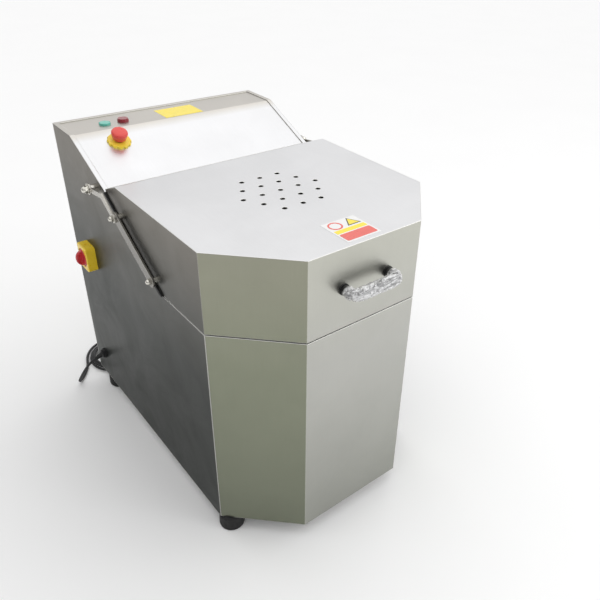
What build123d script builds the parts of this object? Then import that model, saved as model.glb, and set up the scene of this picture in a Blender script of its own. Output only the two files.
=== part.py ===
from build123d import *
from math import sqrt, tan, radians
import os

# Batch vegetable dicer: a floor-standing sheet-steel casing with a lid that swings up on two
# side arms. Under the lid an impeller throws the vegetables through a fixed ring of knives,
# and the dice fall into a ring-shaped pan that lifts out.
#
# Millimetres. The origin is on the floor under the middle of the casing. +Z is up, the handle
# side faces -Y, and +X is to the right of a person standing at the handle.

# ---------------------------------------------------------------- driving dimensions
WIDTH = 600.0
DEPTH = 904.0
FOOT_HEIGHT = 45.0          # floor to the underside of the casing
SEAM_Z = 600.0              # top edge of the lower casing
LID_BOTTOM_Z = 603.0
LID_TOP_Z = 793.0
HUMP_TOP_Z = 842.0
CHAMFER = 150.0             # both front corners, at 45 degrees
SHEET = 2.0
FLANGE = 12.0               # folded edges of the sheet panels

STRIP_FRONT_Y = 331.0       # front edge of the flat strip on the hump
CONSOLE_FOOT_Y = 152.0      # where the slanted console meets the sides' sloping edge
CONSOLE_FOOT_Z = 762.0
SIDE_RISE_Y = -108.0        # where the sides' sloping edge leaves the seam

LID_RISE_Y = -120.0
LID_HEEL = (138.0, 760.0)   # lowest point of the lid's back end, (y, z)
LID_BACK = (137.0, 767.5)
LID_TOP_BACK_Y = 76.0

PIVOT = (200.0, 750.0)      # lid pivot on the casing, (y, z)
ARM_CRANK = (119.0, 761.0)  # bend in the rear bar
ARM_JOINT = (62.0, 726.0)   # rear bar to front bar, bolted to the lid
ARM_END = (-95.0, 633.0)    # front bar, bolted to the lid
REAR_ARM_WIDTH = 12.0
FRONT_ARM_WIDTH = 25.0
ARM_THICK = 5.0
ARM_STANDOFF = 10.0

SPINDLE_Y = -149.0
MOTOR_Y = 290.0
SPINDLE_R = 15.0
HEAD_R = 145.0              # outside of the cutting head
HEAD_BORE_R = 129.0
HEAD_FLOOR_Z = 420.0
HEAD_ROOF_Z = 530.0
KNIFE_COUNT = 40
TUB_R = 245.0
TUB_FLOOR_Z = 233.0
PAN_R = 226.0

HANDLE_SPACING = 121.0
HANDLE_Z = 700.0
HANDLE_REACH = 36.0
HANDLE_R = 11.0

BUTTON_Y = 374.0
START_X = -192.0
STOP_X = -142.0
ESTOP_X = -194.0
ESTOP_Y = 286.0
ISOLATOR = (330.0, 505.0)   # rotary switch on the left side, (y, z)
GLAND = (382.0, 134.0)      # cable gland on the left side, (y, z)

CORD_D = 8.0
COIL_CENTRE = (-219.0, 521.0)
COIL_INNER_R = 60.0
COIL_OUTER_R = 104.0

HALF_W = WIDTH / 2
FRONT_Y = -DEPTH / 2
BACK_Y = DEPTH / 2
PANEL_BACK_Y = BACK_Y - SHEET
CONSOLE_SLOPE = (HUMP_TOP_Z - CONSOLE_FOOT_Z) / (STRIP_FRONT_Y - CONSOLE_FOOT_Y)
CONSOLE_COS = 1 / sqrt(1 + CONSOLE_SLOPE**2)

os.makedirs("parts", exist_ok=True)


# ---------------------------------------------------------------- shared shapes
def save(piece, name):
    """Label a finished piece and write it as its own file."""
    piece.part.label = name
    export_step(piece.part, f"parts/{name}.step")


def outline(inset, back):
    """Corners of the chamfered footprint, inset from its sides and front, ending at y = back."""
    side = HALF_W - inset
    shift = inset * (sqrt(2) - 1)
    corner_x = HALF_W - CHAMFER - shift
    corner_y = FRONT_Y + CHAMFER + shift
    front = FRONT_Y + inset
    return [
        (-side, back), (-side, corner_y), (-corner_x, front),
        (corner_x, front), (side, corner_y), (side, back),
    ]


def prism(points, plane, height, mode=Mode.ADD):
    """Straight prism on a closed outline drawn in plane."""
    with BuildSketch(plane) as section:
        with BuildLine():
            Polyline(*points, close=True)
        make_face()
    extrude(section.sketch, amount=height, mode=mode)


def turned(points, plane, mode=Mode.ADD):
    """Solid of revolution about the plane's normal; points are (radius, height above plane)."""
    profile_plane = Plane(plane.origin, x_dir=plane.x_dir, z_dir=plane.x_dir.cross(plane.z_dir))
    with BuildSketch(profile_plane) as section:
        with BuildLine():
            Polyline(*points, close=True)
        make_face()
    revolve(section.sketch, axis=Axis(plane.origin, plane.z_dir), mode=mode)


def disc(radius, plane, height, mode=Mode.ADD):
    """Round boss, or a round hole when cut, standing on plane."""
    with BuildSketch(plane) as section:
        Circle(radius)
    extrude(section.sketch, amount=height, mode=mode)


def ring(outer, inner, plane, height):
    """Flat ring standing on plane."""
    with BuildSketch(plane) as section:
        Circle(outer)
        Circle(inner, mode=Mode.SUBTRACT)
    extrude(section.sketch, amount=height)


def hexagon(across_flats, plane, height):
    """Hexagonal prism standing on plane."""
    with BuildSketch(plane) as section:
        RegularPolygon(across_flats / 2, 6, major_radius=False)
    extrude(section.sketch, amount=height)


def side_plane(side, y, z, x=HALF_W):
    """Plane facing outwards on the left (-1) or right (+1) side."""
    return Plane((side * x, y, z), x_dir=(0, 1, 0), z_dir=(side, 0, 0))


def level(z, x=0.0, y=0.0):
    """Horizontal plane at height z, facing up."""
    return Plane((x, y, z))


def console_z(y, depth):
    """Height of the slanted console at y, depth below the sides' edge."""
    return CONSOLE_FOOT_Z + CONSOLE_SLOPE * (y - CONSOLE_FOOT_Y) - depth / CONSOLE_COS


def console_strip_y(depth):
    """Where the slanted console turns into the flat strip, depth below the sides' edge."""
    return STRIP_FRONT_Y + depth * (1 / CONSOLE_COS - 1) / CONSOLE_SLOPE


CONSOLE_NORMAL = Vector(0, -CONSOLE_SLOPE, 1).normalized()
ESTOP_PLANE = Plane(
    (ESTOP_X, ESTOP_Y, console_z(ESTOP_Y, SHEET)), x_dir=(1, 0, 0), z_dir=CONSOLE_NORMAL
)
STRIP_Z = HUMP_TOP_Z - SHEET
START_PLANE = level(STRIP_Z, START_X, BUTTON_Y)
STOP_PLANE = level(STRIP_Z, STOP_X, BUTTON_Y)
PANEL_HOLE_R = 11.2         # standard hole for 22 mm push buttons
STUD_R = 5.0
BOLT_R = 4.0
CLEAR = 0.05                # running clearance on the radius

# ---------------------------------------------------------------- casing
SIDE_OUTLINE = [
    (FRONT_Y + CHAMFER, FOOT_HEIGHT), (PANEL_BACK_Y, FOOT_HEIGHT), (PANEL_BACK_Y, HUMP_TOP_Z),
    (STRIP_FRONT_Y, HUMP_TOP_Z), (CONSOLE_FOOT_Y, CONSOLE_FOOT_Z), (SIDE_RISE_Y, SEAM_Z),
    (FRONT_Y + CHAMFER, SEAM_Z),
]


def side_panel(side):
    """Sheet pan with its bottom, back and upper edges folded inwards."""
    with BuildPart() as panel:
        with BuildSketch(Plane.YZ.offset(side * HALF_W)):
            with BuildLine():
                Polyline(*SIDE_OUTLINE, close=True)
            make_face()
        extrude(amount=-side * FLANGE)
        with BuildSketch(Plane.YZ.offset(side * (HALF_W - SHEET))):
            with BuildLine():
                Polyline(*SIDE_OUTLINE, close=True)
            make_face()
            offset(amount=-SHEET, kind=Kind.INTERSECTION)
        extrude(amount=-side * FLANGE, mode=Mode.SUBTRACT)
        open_x = side * (HALF_W - SHEET - FLANGE / 2)
        with Locations((open_x, FRONT_Y + CHAMFER, (FOOT_HEIGHT + SEAM_Z) / 2)):
            Box(FLANGE, 4 * SHEET, SEAM_Z - FOOT_HEIGHT - 2 * SHEET, mode=Mode.SUBTRACT)
        disc(STUD_R + CLEAR, side_plane(side, *PIVOT), -2 * SHEET, Mode.SUBTRACT)
        if side < 0:
            disc(10, side_plane(side, *GLAND), -2 * SHEET, Mode.SUBTRACT)
    return panel


left_side_panel = side_panel(-1)
save(left_side_panel, "left_side_panel")
right_side_panel = side_panel(1)
save(right_side_panel, "right_side_panel")

with BuildPart() as front_panel:
    prism(outline(0, 0), level(FOOT_HEIGHT), SEAM_Z - FOOT_HEIGHT)
    prism(outline(SHEET, 1), level(FOOT_HEIGHT + SHEET), SEAM_Z - FOOT_HEIGHT - 2 * SHEET,
          Mode.SUBTRACT)
    prism(outline(FLANGE, 1), level(FOOT_HEIGHT - 1), SEAM_Z, Mode.SUBTRACT)
    with Locations((0, FRONT_Y + CHAMFER + WIDTH / 2, SEAM_Z / 2)):
        Box(2 * WIDTH, WIDTH, 2 * WIDTH, mode=Mode.SUBTRACT)
save(front_panel, "front_panel")

LIP_HALF_W = HALF_W - FLANGE
with BuildPart() as rear_panel:
    with Locations((0, BACK_Y - SHEET / 2, (FOOT_HEIGHT + HUMP_TOP_Z) / 2)):
        Box(WIDTH, SHEET, HUMP_TOP_Z - FOOT_HEIGHT)
    for lip_z in (FOOT_HEIGHT + SHEET / 2, HUMP_TOP_Z - SHEET / 2):
        with Locations((0, BACK_Y - FLANGE / 2, lip_z)):
            Box(2 * LIP_HALF_W, FLANGE, SHEET)
    for slot_x in (-100, 100):
        for slot_z in (290, 640):
            for slot in range(7):
                with Locations((slot_x, BACK_Y, slot_z + 18 * (slot - 3))):
                    Box(120, 4 * SHEET, 6, mode=Mode.SUBTRACT)
save(rear_panel, "rear_panel")

DRAIN_HOLE_R = 26           # clearance round the drain spout
with BuildPart() as floor_plate:
    prism(outline(SHEET, PANEL_BACK_Y - SHEET), level(FOOT_HEIGHT + SHEET), SHEET)
    for foot_x in (-268, 268):
        for foot_y in (-300, 388):
            disc(6.1, level(FOOT_HEIGHT, foot_x, foot_y), 3 * SHEET, Mode.SUBTRACT)
    disc(DRAIN_HOLE_R, level(FOOT_HEIGHT, 0, SPINDLE_Y - 180), 3 * SHEET, Mode.SUBTRACT)
save(floor_plate, "floor_plate")

ANGLE = 50.0
ANGLE_WALL = 3.0
FRAME_Z = FOOT_HEIGHT + 2 * SHEET
FRAME_BACK_Y = PANEL_BACK_Y - SHEET
with BuildPart() as base_frame:
    prism(outline(SHEET, FRAME_BACK_Y), level(FRAME_Z), 30)
    prism(outline(SHEET + ANGLE_WALL, FRAME_BACK_Y - ANGLE_WALL), level(FRAME_Z + ANGLE_WALL), 30,
          Mode.SUBTRACT)
    prism(outline(SHEET + ANGLE, FRAME_BACK_Y - ANGLE), level(FRAME_Z - 1), 30, Mode.SUBTRACT)
    for foot_x in (-268, 268):
        for foot_y in (-300, 388):
            disc(6.1, level(FRAME_Z - 1, foot_x, foot_y), 10, Mode.SUBTRACT)
save(base_frame, "base_frame")

CONSOLE_WALL_Y = CONSOLE_FOOT_Y + SHEET
CONSOLE_BACK_Y = PANEL_BACK_Y - 2 * SHEET
DECK_TOP_Z = SEAM_Z - SHEET


def console_outline(depth, wall_y, back_y, foot_z, drop_z):
    """Side view of the folded console sheet's upper or lower face."""
    return [
        (wall_y, foot_z), (wall_y, console_z(wall_y, depth)),
        (console_strip_y(depth), HUMP_TOP_Z - depth), (back_y, HUMP_TOP_Z - depth),
        (back_y, drop_z),
    ]


with BuildPart() as console_panel:
    upper = console_outline(SHEET, CONSOLE_WALL_Y, CONSOLE_BACK_Y, 580, 815)
    lower = console_outline(2 * SHEET, CONSOLE_WALL_Y + SHEET, CONSOLE_BACK_Y - SHEET, 580, 815)
    with BuildSketch(Plane.YZ):
        with BuildLine():
            Polyline(*upper, *reversed(lower), close=True)
        make_face()
    extrude(amount=HALF_W - SHEET, both=True)
    for control in (ESTOP_PLANE, START_PLANE, STOP_PLANE):
        disc(PANEL_HOLE_R, control.offset(-3 * SHEET), 5 * SHEET, Mode.SUBTRACT)
save(console_panel, "console_panel")

with BuildPart() as deck_plate:
    prism(outline(SHEET, CONSOLE_WALL_Y), level(DECK_TOP_Z - SHEET), SHEET)
    disc(TUB_R + 1, level(SEAM_Z - 10, 0, SPINDLE_Y), 20, Mode.SUBTRACT)
save(deck_plate, "deck_plate")


def foot_places():
    """Centres of the four feet in plan."""
    return [(x, y) for x in (-268, 268) for y in (-300, 388)]


with BuildPart() as rubber_feet:
    for x, y in foot_places():
        turned([(0, 0), (29, 0), (31, 2), (32, 6), (31, 38), (28, 41), (28, FOOT_HEIGHT),
                (6.1, FOOT_HEIGHT), (6.1, 24), (0, 24)], level(0, x, y))
save(rubber_feet, "rubber_feet")

with BuildPart() as foot_bolts:
    for x, y in foot_places():
        disc(6, level(26, x, y), FRAME_Z + ANGLE_WALL - 26)
        hexagon(18, level(FRAME_Z + ANGLE_WALL, x, y), 8)
save(foot_bolts, "foot_bolts")

# ---------------------------------------------------------------- tub and bearing column
AXIS = level(0, 0, SPINDLE_Y)
with BuildPart() as tub:
    turned([(46.2, 230), (TUB_R, 230), (TUB_R, DECK_TOP_Z), (262, DECK_TOP_Z), (262, SEAM_Z),
            (TUB_R - 2, SEAM_Z), (TUB_R - 2, TUB_FLOOR_Z), (46.2, TUB_FLOOR_Z)], AXIS)
    disc(18, level(220, 0, SPINDLE_Y - 180), 20, Mode.SUBTRACT)
save(tub, "tub")

with BuildPart() as drain_spout:
    turned([(18, 36), (20, 36), (20, 226), (28, 226), (28, 230), (18, 230)],
           level(0, 0, SPINDLE_Y - 180))
save(drain_spout, "drain_spout")

BEARING_R = 31.0
with BuildPart() as bearing_housing:
    turned([(BEARING_R, 222), (80, 222), (80, 230), (46, 230), (46, 404), (BEARING_R, 404)], AXIS)
save(bearing_housing, "bearing_housing")

with BuildPart() as spindle_bearings:
    for bearing_z in (224, 374):
        ring(BEARING_R - CLEAR, SPINDLE_R + CLEAR, level(bearing_z, 0, SPINDLE_Y), 16)
save(spindle_bearings, "spindle_bearings")

with BuildPart() as spindle_seal:
    ring(BEARING_R - CLEAR, SPINDLE_R + 0.4, level(393, 0, SPINDLE_Y), 8)
save(spindle_seal, "spindle_seal")

# ---------------------------------------------------------------- fixed cutting head
with BuildPart() as head_base:
    turned([(SPINDLE_R + 5, 404), (HEAD_R, 404), (HEAD_R, 412), (SPINDLE_R + 5, 412)], AXIS)
save(head_base, "head_base")

KNIFE_HEIGHT = HEAD_ROOF_Z - HEAD_FLOOR_Z
KNIFE_R = 138.2
KNIFE_DEPTH = 8.0
with BuildPart() as head_frame:
    ring(HEAD_R, HEAD_BORE_R, level(412, 0, SPINDLE_Y), HEAD_FLOOR_Z - 412)
    ring(HEAD_R, HEAD_BORE_R, level(HEAD_ROOF_Z, 0, SPINDLE_Y), 10)
    with Locations((0, SPINDLE_Y, (HEAD_FLOOR_Z + HEAD_ROOF_Z) / 2)):
        with PolarLocations(KNIFE_R, 4):
            Box(KNIFE_DEPTH, 7, KNIFE_HEIGHT)
save(head_frame, "head_frame")

with BuildPart() as dicing_knives:
    with Locations((0, SPINDLE_Y, (HEAD_FLOOR_Z + HEAD_ROOF_Z) / 2)):
        step = 360 / KNIFE_COUNT
        for quarter in range(4):
            with PolarLocations(KNIFE_R, KNIFE_COUNT // 4 - 1, start_angle=90 * quarter + step,
                                angular_range=90 - 2 * step, endpoint=True):
                Box(KNIFE_DEPTH, 1.5, KNIFE_HEIGHT)
save(dicing_knives, "dicing_knives")

with BuildPart() as separator_rings:
    for k in range(1, 7):
        ring(HEAD_BORE_R + 5, HEAD_BORE_R, level(HEAD_FLOOR_Z + k * KNIFE_HEIGHT / 7 - 0.75,
                                                 0, SPINDLE_Y), 1.5)
save(separator_rings, "separator_rings")

with BuildPart() as feed_collar:
    turned([(HEAD_BORE_R, 540), (HEAD_R, 540), (HEAD_R, 542), (HEAD_BORE_R + 2, 542),
            (HEAD_R, 566), (HEAD_R - 3, 566)], AXIS)
save(feed_collar, "feed_collar")

# ---------------------------------------------------------------- turning group
IMPELLER_R = 127.5
HUB_R = 28.0
HUB_TOP_Z = 470.0
with BuildPart() as impeller:
    turned([(SPINDLE_R, 414), (IMPELLER_R, 414), (IMPELLER_R, 420), (HUB_R, 420),
            (HUB_R, HUB_TOP_Z - 6), (HUB_R - 6, HUB_TOP_Z), (SPINDLE_R, HUB_TOP_Z)], AXIS)
    with Locations((0, SPINDLE_Y, 420)):
        with PolarLocations((HUB_R + IMPELLER_R - 2) / 2, 4, start_angle=45):
            Box(IMPELLER_R - HUB_R, 6, 100, align=(Align.CENTER, Align.CENTER, Align.MIN))
save(impeller, "impeller")

with BuildPart() as impeller_nut:
    turned([(0, 486), (8.1, 486), (8.1, HUB_TOP_Z), (20, HUB_TOP_Z), (20, 474), (17, 476),
            (15, 486), (9, 492), (0, 494)], AXIS)
save(impeller_nut, "impeller_nut")

with BuildPart() as spindle:
    turned([(0, 146), (SPINDLE_R, 146), (SPINDLE_R, HUB_TOP_Z), (8, HUB_TOP_Z), (8, 484),
            (0, 484)], AXIS)
save(spindle, "spindle")

DRIVEN_R = 75.0
MOTOR_PULLEY_R = 45.0
PULLEY_Z = 148.0
GROOVE = 9.0


def pulley(outer_r, bore_r, y):
    """Grooved belt pulley on a vertical shaft."""
    with BuildPart() as wheel:
        turned([(bore_r, PULLEY_Z), (outer_r, PULLEY_Z), (outer_r, PULLEY_Z + 5),
                (outer_r - GROOVE, PULLEY_Z + 5), (outer_r - GROOVE, PULLEY_Z + 25),
                (outer_r, PULLEY_Z + 25), (outer_r, PULLEY_Z + 30), (bore_r, PULLEY_Z + 30)],
               level(0, 0, y))
    return wheel


driven_pulley = pulley(DRIVEN_R, SPINDLE_R, SPINDLE_Y)
save(driven_pulley, "driven_pulley")
MOTOR_SHAFT_R = 12.0
motor_pulley = pulley(MOTOR_PULLEY_R, MOTOR_SHAFT_R, MOTOR_Y)
save(motor_pulley, "motor_pulley")

with BuildPart() as motor_shaft:
    disc(MOTOR_SHAFT_R, level(146, 0, MOTOR_Y), 100)
save(motor_shaft, "motor_shaft")

with BuildPart() as drive_belt:
    for inward, mode in ((0.5, Mode.ADD), (GROOVE - 0.5, Mode.SUBTRACT)):
        with BuildSketch(level(PULLEY_Z + 6)) as loop:
            with Locations((0, SPINDLE_Y)):
                Circle(DRIVEN_R - inward)
            with Locations((0, MOTOR_Y)):
                Circle(MOTOR_PULLEY_R - inward)
            make_hull()
        extrude(loop.sketch, amount=18, mode=mode)
save(drive_belt, "drive_belt")

# ---------------------------------------------------------------- drive supports and motor
RAIL_W = 26.0
BRIDGE_Z = 210.0
MOTOR_PLATE_Z = 216.0
with BuildPart() as cross_rails:
    for y, top in ((SPINDLE_Y - 75, BRIDGE_Z), (SPINDLE_Y + 75, BRIDGE_Z),
                   (MOTOR_Y - 85, MOTOR_PLATE_Z), (MOTOR_Y + 85, MOTOR_PLATE_Z)):
        with Locations((0, y, top - RAIL_W / 2)):
            Box(2 * (HALF_W - SHEET), RAIL_W, RAIL_W)
            Box(2 * (HALF_W - SHEET), RAIL_W - 5, RAIL_W - 5, mode=Mode.SUBTRACT)
save(cross_rails, "cross_rails")

with BuildPart() as spindle_bridge:
    with Locations((0, SPINDLE_Y, BRIDGE_Z + 6)):
        Box(300, 190, 12)
    disc(BEARING_R + 2, level(BRIDGE_Z - 1, 0, SPINDLE_Y), 20, Mode.SUBTRACT)
save(spindle_bridge, "spindle_bridge")

with BuildPart() as motor_plate:
    with Locations((0, MOTOR_Y, MOTOR_PLATE_Z + 5)):
        Box(260, 210, 10)
    disc(30, level(MOTOR_PLATE_Z - 1, 0, MOTOR_Y), 20, Mode.SUBTRACT)
save(motor_plate, "motor_plate")

MOTOR_BASE_Z = MOTOR_PLATE_Z + 10
with BuildPart() as motor_housing:
    turned([(MOTOR_SHAFT_R + CLEAR, MOTOR_BASE_Z), (92, MOTOR_BASE_Z), (92, MOTOR_BASE_Z + 12),
            (72, MOTOR_BASE_Z + 12), (72, MOTOR_BASE_Z + 210), (0, MOTOR_BASE_Z + 210),
            (0, MOTOR_BASE_Z + 24), (MOTOR_SHAFT_R + CLEAR, MOTOR_BASE_Z + 24)],
           level(0, 0, MOTOR_Y))
    with Locations((0, MOTOR_Y, MOTOR_BASE_Z + 12)):
        with PolarLocations(76, 24):
            Box(12, 3, 190, align=(Align.CENTER, Align.CENTER, Align.MIN))
    with Locations((102, MOTOR_Y, MOTOR_BASE_Z + 110)):
        Box(60, 90, 90)
save(motor_housing, "motor_housing")

with BuildPart() as motor_fan_cover:
    fan_z = MOTOR_BASE_Z + 210
    turned([(0, fan_z + 50), (0, fan_z + 52), (78, fan_z + 52), (84, fan_z + 44), (84, fan_z),
            (82, fan_z), (82, fan_z + 43), (77, fan_z + 50)], level(0, 0, MOTOR_Y))
    with Locations((0, MOTOR_Y, fan_z + 50)):
        with PolarLocations(50, 12):
            Box(34, 6, 12, mode=Mode.SUBTRACT)
save(motor_fan_cover, "motor_fan_cover")

with BuildPart() as control_box:
    with Locations((HALF_W - SHEET - 45, 390, 600)):
        Box(90, 90, 240)
        fillet(edges().filter_by(Axis.X), 5)
save(control_box, "control_box")

# ---------------------------------------------------------------- lift-out pan
with BuildPart() as pan:
    turned([(152, 242), (152, 402), (150.5, 402), (150.5, 240), (PAN_R, 240), (PAN_R, 572),
            (PAN_R - 1.5, 572), (PAN_R - 1.5, 242)], AXIS)
    ring(206, 200, level(TUB_FLOOR_Z, 0, SPINDLE_Y), 240 - TUB_FLOOR_Z)
save(pan, "pan")

with BuildPart() as pan_handles:
    for side in (-1, 1):
        rim_x = side * sqrt((PAN_R - 0.75) ** 2 - 45**2)
        with BuildLine(Plane((rim_x, SPINDLE_Y, 572), x_dir=(0, 1, 0), z_dir=(1, 0, 0))) as bow:
            FilletPolyline((-45, 0), (-45, 32), (45, 32), (45, 0), radius=12)
        with BuildSketch(level(572, rim_x, SPINDLE_Y - 45)) as rod:
            Circle(4)
        sweep(rod.sketch, path=bow.line)
save(pan_handles, "pan_handles")

# ---------------------------------------------------------------- lid
LID_TOP_BACK = (LID_TOP_BACK_Y, LID_TOP_Z)
LID_EDGE = [
    (FRONT_Y, LID_BOTTOM_Z), (LID_RISE_Y, LID_BOTTOM_Z), LID_HEEL, LID_BACK, LID_TOP_BACK,
    (FRONT_Y, LID_TOP_Z),
]


def lid_block(side_view, grow, inset):
    """Solid between a side view, grown or shrunk, and the chamfered plan, inset."""
    with BuildPart() as block:
        with BuildSketch(Plane.YZ):
            with BuildLine():
                Polyline(*side_view, close=True)
            make_face()
            if grow:
                offset(amount=grow, kind=Kind.INTERSECTION)
        extrude(amount=WIDTH, both=True)
        with BuildSketch(level(0)):
            with BuildLine():
                Polyline(*outline(inset, DEPTH), close=True)
            make_face()
        extrude(amount=2 * WIDTH, mode=Mode.INTERSECT)
    return block.part


LID_MOUTH = [
    (2 * FRONT_Y, LID_BOTTOM_Z - 40), (LID_HEEL[0] - SHEET, LID_BOTTOM_Z - 40),
    (LID_HEEL[0] - SHEET, LID_BACK[1] - 1.3), (LID_TOP_BACK_Y - 0.4, LID_TOP_Z - SHEET),
    (2 * FRONT_Y, LID_TOP_Z - SHEET),
]
whole_lid = lid_block(LID_EDGE, 0, 0)
lid_hollow = lid_block(LID_EDGE, -SHEET, SHEET)
lid_mouth = lid_block(LID_MOUTH, 0, FLANGE + SHEET)

VENT_R = 6.0
VENT_PITCH = 50.0
with BuildPart() as lid_shell:
    add(whole_lid)
    add(lid_hollow, mode=Mode.SUBTRACT)
    add(lid_mouth, mode=Mode.SUBTRACT)
    for row, count in enumerate((3, 4, 5, 4, 3)):
        row_y = SPINDLE_Y + (row - 2) * VENT_PITCH * sqrt(3) / 2
        with BuildSketch(level(LID_TOP_Z - 5)) as vents:
            with Locations((0, row_y)):
                with GridLocations(VENT_PITCH, 0, count, 1):
                    Circle(VENT_R)
        extrude(vents.sketch, amount=10, mode=Mode.SUBTRACT)
    for side in (-1, 1):
        for place in (ARM_JOINT, ARM_END):
            disc(BOLT_R + CLEAR, side_plane(side, *place), -2 * SHEET, Mode.SUBTRACT)
save(lid_shell, "lid_shell")

# The rubber profile goes round the front of the lid and up its slanted side edges, where it
# stands a little proud of the sheet.
SEAL_PROUD = 4.5
SEAL_WIDTH = 11.5
SEAL_GAP = 0.8              # clear of the casing when the lid is down
casing_edge = Vector(CONSOLE_FOOT_Y - SIDE_RISE_Y, CONSOLE_FOOT_Z - SEAM_Z, 0).normalized()
casing_foot = Vector(CONSOLE_FOOT_Y, CONSOLE_FOOT_Z, 0) - casing_edge * 12
seal_top = casing_foot + Vector(-casing_edge.Y, casing_edge.X, 0) * SEAL_GAP
seal_kink_y = SIDE_RISE_Y - SEAL_GAP * (1 - casing_edge.X) / casing_edge.Y
SEAL_STRIP = [
    (LID_RISE_Y, LID_BOTTOM_Z), LID_HEEL, (seal_top.X, seal_top.Y),
    (seal_kink_y, SEAM_Z + SEAL_GAP), (LID_RISE_Y, SEAM_Z + SEAL_GAP),
]
with BuildPart() as lid_seal:
    prism(outline(4, LID_RISE_Y), level(SEAM_Z + 0.3), LID_BOTTOM_Z - SEAM_Z - 0.3)
    prism(outline(11, LID_RISE_Y + 1), level(SEAM_Z), 10, Mode.SUBTRACT)
    for side in (-1, 1):
        strip_face = Plane((side * (HALF_W + SEAL_PROUD), 0, 0), x_dir=(0, 1, 0), z_dir=(1, 0, 0))
        prism(SEAL_STRIP, strip_face, -side * SEAL_WIDTH)
save(lid_seal, "lid_seal")

with BuildPart() as lid_handle:
    half = HANDLE_SPACING / 2
    with BuildLine(level(HANDLE_Z)) as bow:
        FilletPolyline((-half, FRONT_Y), (-half, FRONT_Y - HANDLE_REACH),
                       (half, FRONT_Y - HANDLE_REACH), (half, FRONT_Y), radius=18)
    with BuildSketch(Plane((-half, FRONT_Y, HANDLE_Z), z_dir=(0, -1, 0))) as bar:
        Circle(HANDLE_R)
    sweep(bar.sketch, path=bow.line)
    for x in (-half, half):
        disc(HANDLE_R + 2, Plane((x, FRONT_Y, HANDLE_Z), z_dir=(0, -1, 0)), 4)
save(lid_handle, "lid_handle")

with BuildPart() as lid_label:
    with Locations((3.5, -393.5, LID_TOP_Z + 0.2)):
        Box(89, 91, 0.4)
save(lid_label, "lid_label")

# ---------------------------------------------------------------- lid arms and their fasteners


def bar(side, x, stops, width, eyes):
    """Flat bar along stops, (y, z) points, on one side; eyes are (place, outer, hole radius)."""
    plane = Plane((side * x, 0, 0), x_dir=(0, 1, 0), z_dir=(1, 0, 0))
    for start, end in zip(stops, stops[1:]):
        with BuildSketch(plane) as length:
            with Locations(start, end):
                Circle(width / 2)
            make_hull()
        extrude(length.sketch, amount=side * ARM_THICK)
    for place, outer, _ in eyes:
        disc(outer, side_plane(side, *place, x=x), ARM_THICK)
    for place, _, hole in eyes:
        disc(hole, side_plane(side, *place, x=x - 1), ARM_THICK + 2, Mode.SUBTRACT)


FRONT_BAR_X = HALF_W + ARM_STANDOFF
REAR_BAR_X = FRONT_BAR_X + ARM_THICK
with BuildPart() as rear_arms:
    for side in (-1, 1):
        bar(side, REAR_BAR_X, [PIVOT, ARM_CRANK, ARM_JOINT], REAR_ARM_WIDTH,
            [(PIVOT, 14, STUD_R + CLEAR), (ARM_JOINT, 11, BOLT_R + CLEAR)])
save(rear_arms, "rear_arms")

with BuildPart() as front_arms:
    for side in (-1, 1):
        bar(side, FRONT_BAR_X, [ARM_JOINT, ARM_END], FRONT_ARM_WIDTH,
            [(ARM_JOINT, 14, BOLT_R + CLEAR), (ARM_END, 14, BOLT_R + CLEAR)])
save(front_arms, "front_arms")

with BuildPart() as arm_spacers:
    for side in (-1, 1):
        for place in (ARM_JOINT, ARM_END):
            ring(7, BOLT_R + CLEAR, side_plane(side, *place), ARM_STANDOFF)
save(arm_spacers, "arm_spacers")



def domed_nut(seat, across_flats, hexagon_height):
    """Solid acorn nut standing on seat, with a half-round dome."""
    hexagon(across_flats, seat, hexagon_height)
    radius = across_flats / 2 - 0.4
    foot = seat.offset(hexagon_height / 2)
    profile_plane = Plane(foot.origin, x_dir=foot.x_dir, z_dir=foot.x_dir.cross(foot.z_dir))
    with BuildSketch(profile_plane) as section:
        with BuildLine():
            Polyline((0, hexagon_height / 2 + radius), (0, 0), (radius, 0),
                     (radius, hexagon_height / 2))
            CenterArc((0, hexagon_height / 2), radius, 0, 90)
        make_face()
    revolve(section.sketch, axis=Axis(foot.origin, foot.z_dir))


with BuildPart() as arm_bolts:
    for side in (-1, 1):
        for place, nut_x in ((ARM_JOINT, REAR_BAR_X + ARM_THICK), (ARM_END, REAR_BAR_X)):
            inside = HALF_W - SHEET
            hexagon(13, side_plane(side, *place, x=inside - 5), 5)
            disc(BOLT_R, side_plane(side, *place, x=inside), nut_x - inside)
            domed_nut(side_plane(side, *place, x=nut_x), 13, 5)
save(arm_bolts, "arm_bolts")

EYE_X = REAR_BAR_X - 0.5    # outer end of the stud's shoulder
NUT_X = REAR_BAR_X + ARM_THICK + 0.5
WASHER = 1.5
with BuildPart() as pivot_studs:
    for side in (-1, 1):
        hexagon(17, side_plane(side, *PIVOT, x=HALF_W - SHEET - 6), 6)
        disc(STUD_R, side_plane(side, *PIVOT, x=HALF_W - SHEET), NUT_X + 8 - HALF_W + SHEET)
        disc(9, side_plane(side, *PIVOT), EYE_X - HALF_W)
save(pivot_studs, "pivot_studs")

with BuildPart() as pivot_nuts:
    for side in (-1, 1):
        seat = side_plane(side, *PIVOT, x=NUT_X)
        disc(11, seat, WASHER)
        domed_nut(seat.offset(WASHER), 17, 6)
        disc(STUD_R + CLEAR, seat, 9, Mode.SUBTRACT)
save(pivot_nuts, "pivot_nuts")

# ---------------------------------------------------------------- controls
with BuildPart() as button_bezels:
    for place in (START_PLANE, STOP_PLANE):
        turned([(14, 0), (15, 0), (15, 4.4), (14.5, 5), (14, 5)], place)
save(button_bezels, "button_bezels")


def push_button(place, height):
    """Round button cap with a short stem through its panel hole."""
    with BuildPart() as button:
        turned([(0, -16), (6, -16), (6, 3.3), (13.6, 3.3), (13.6, height - 0.8),
                (12.8, height), (0, height)], place)
    return button


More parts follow.
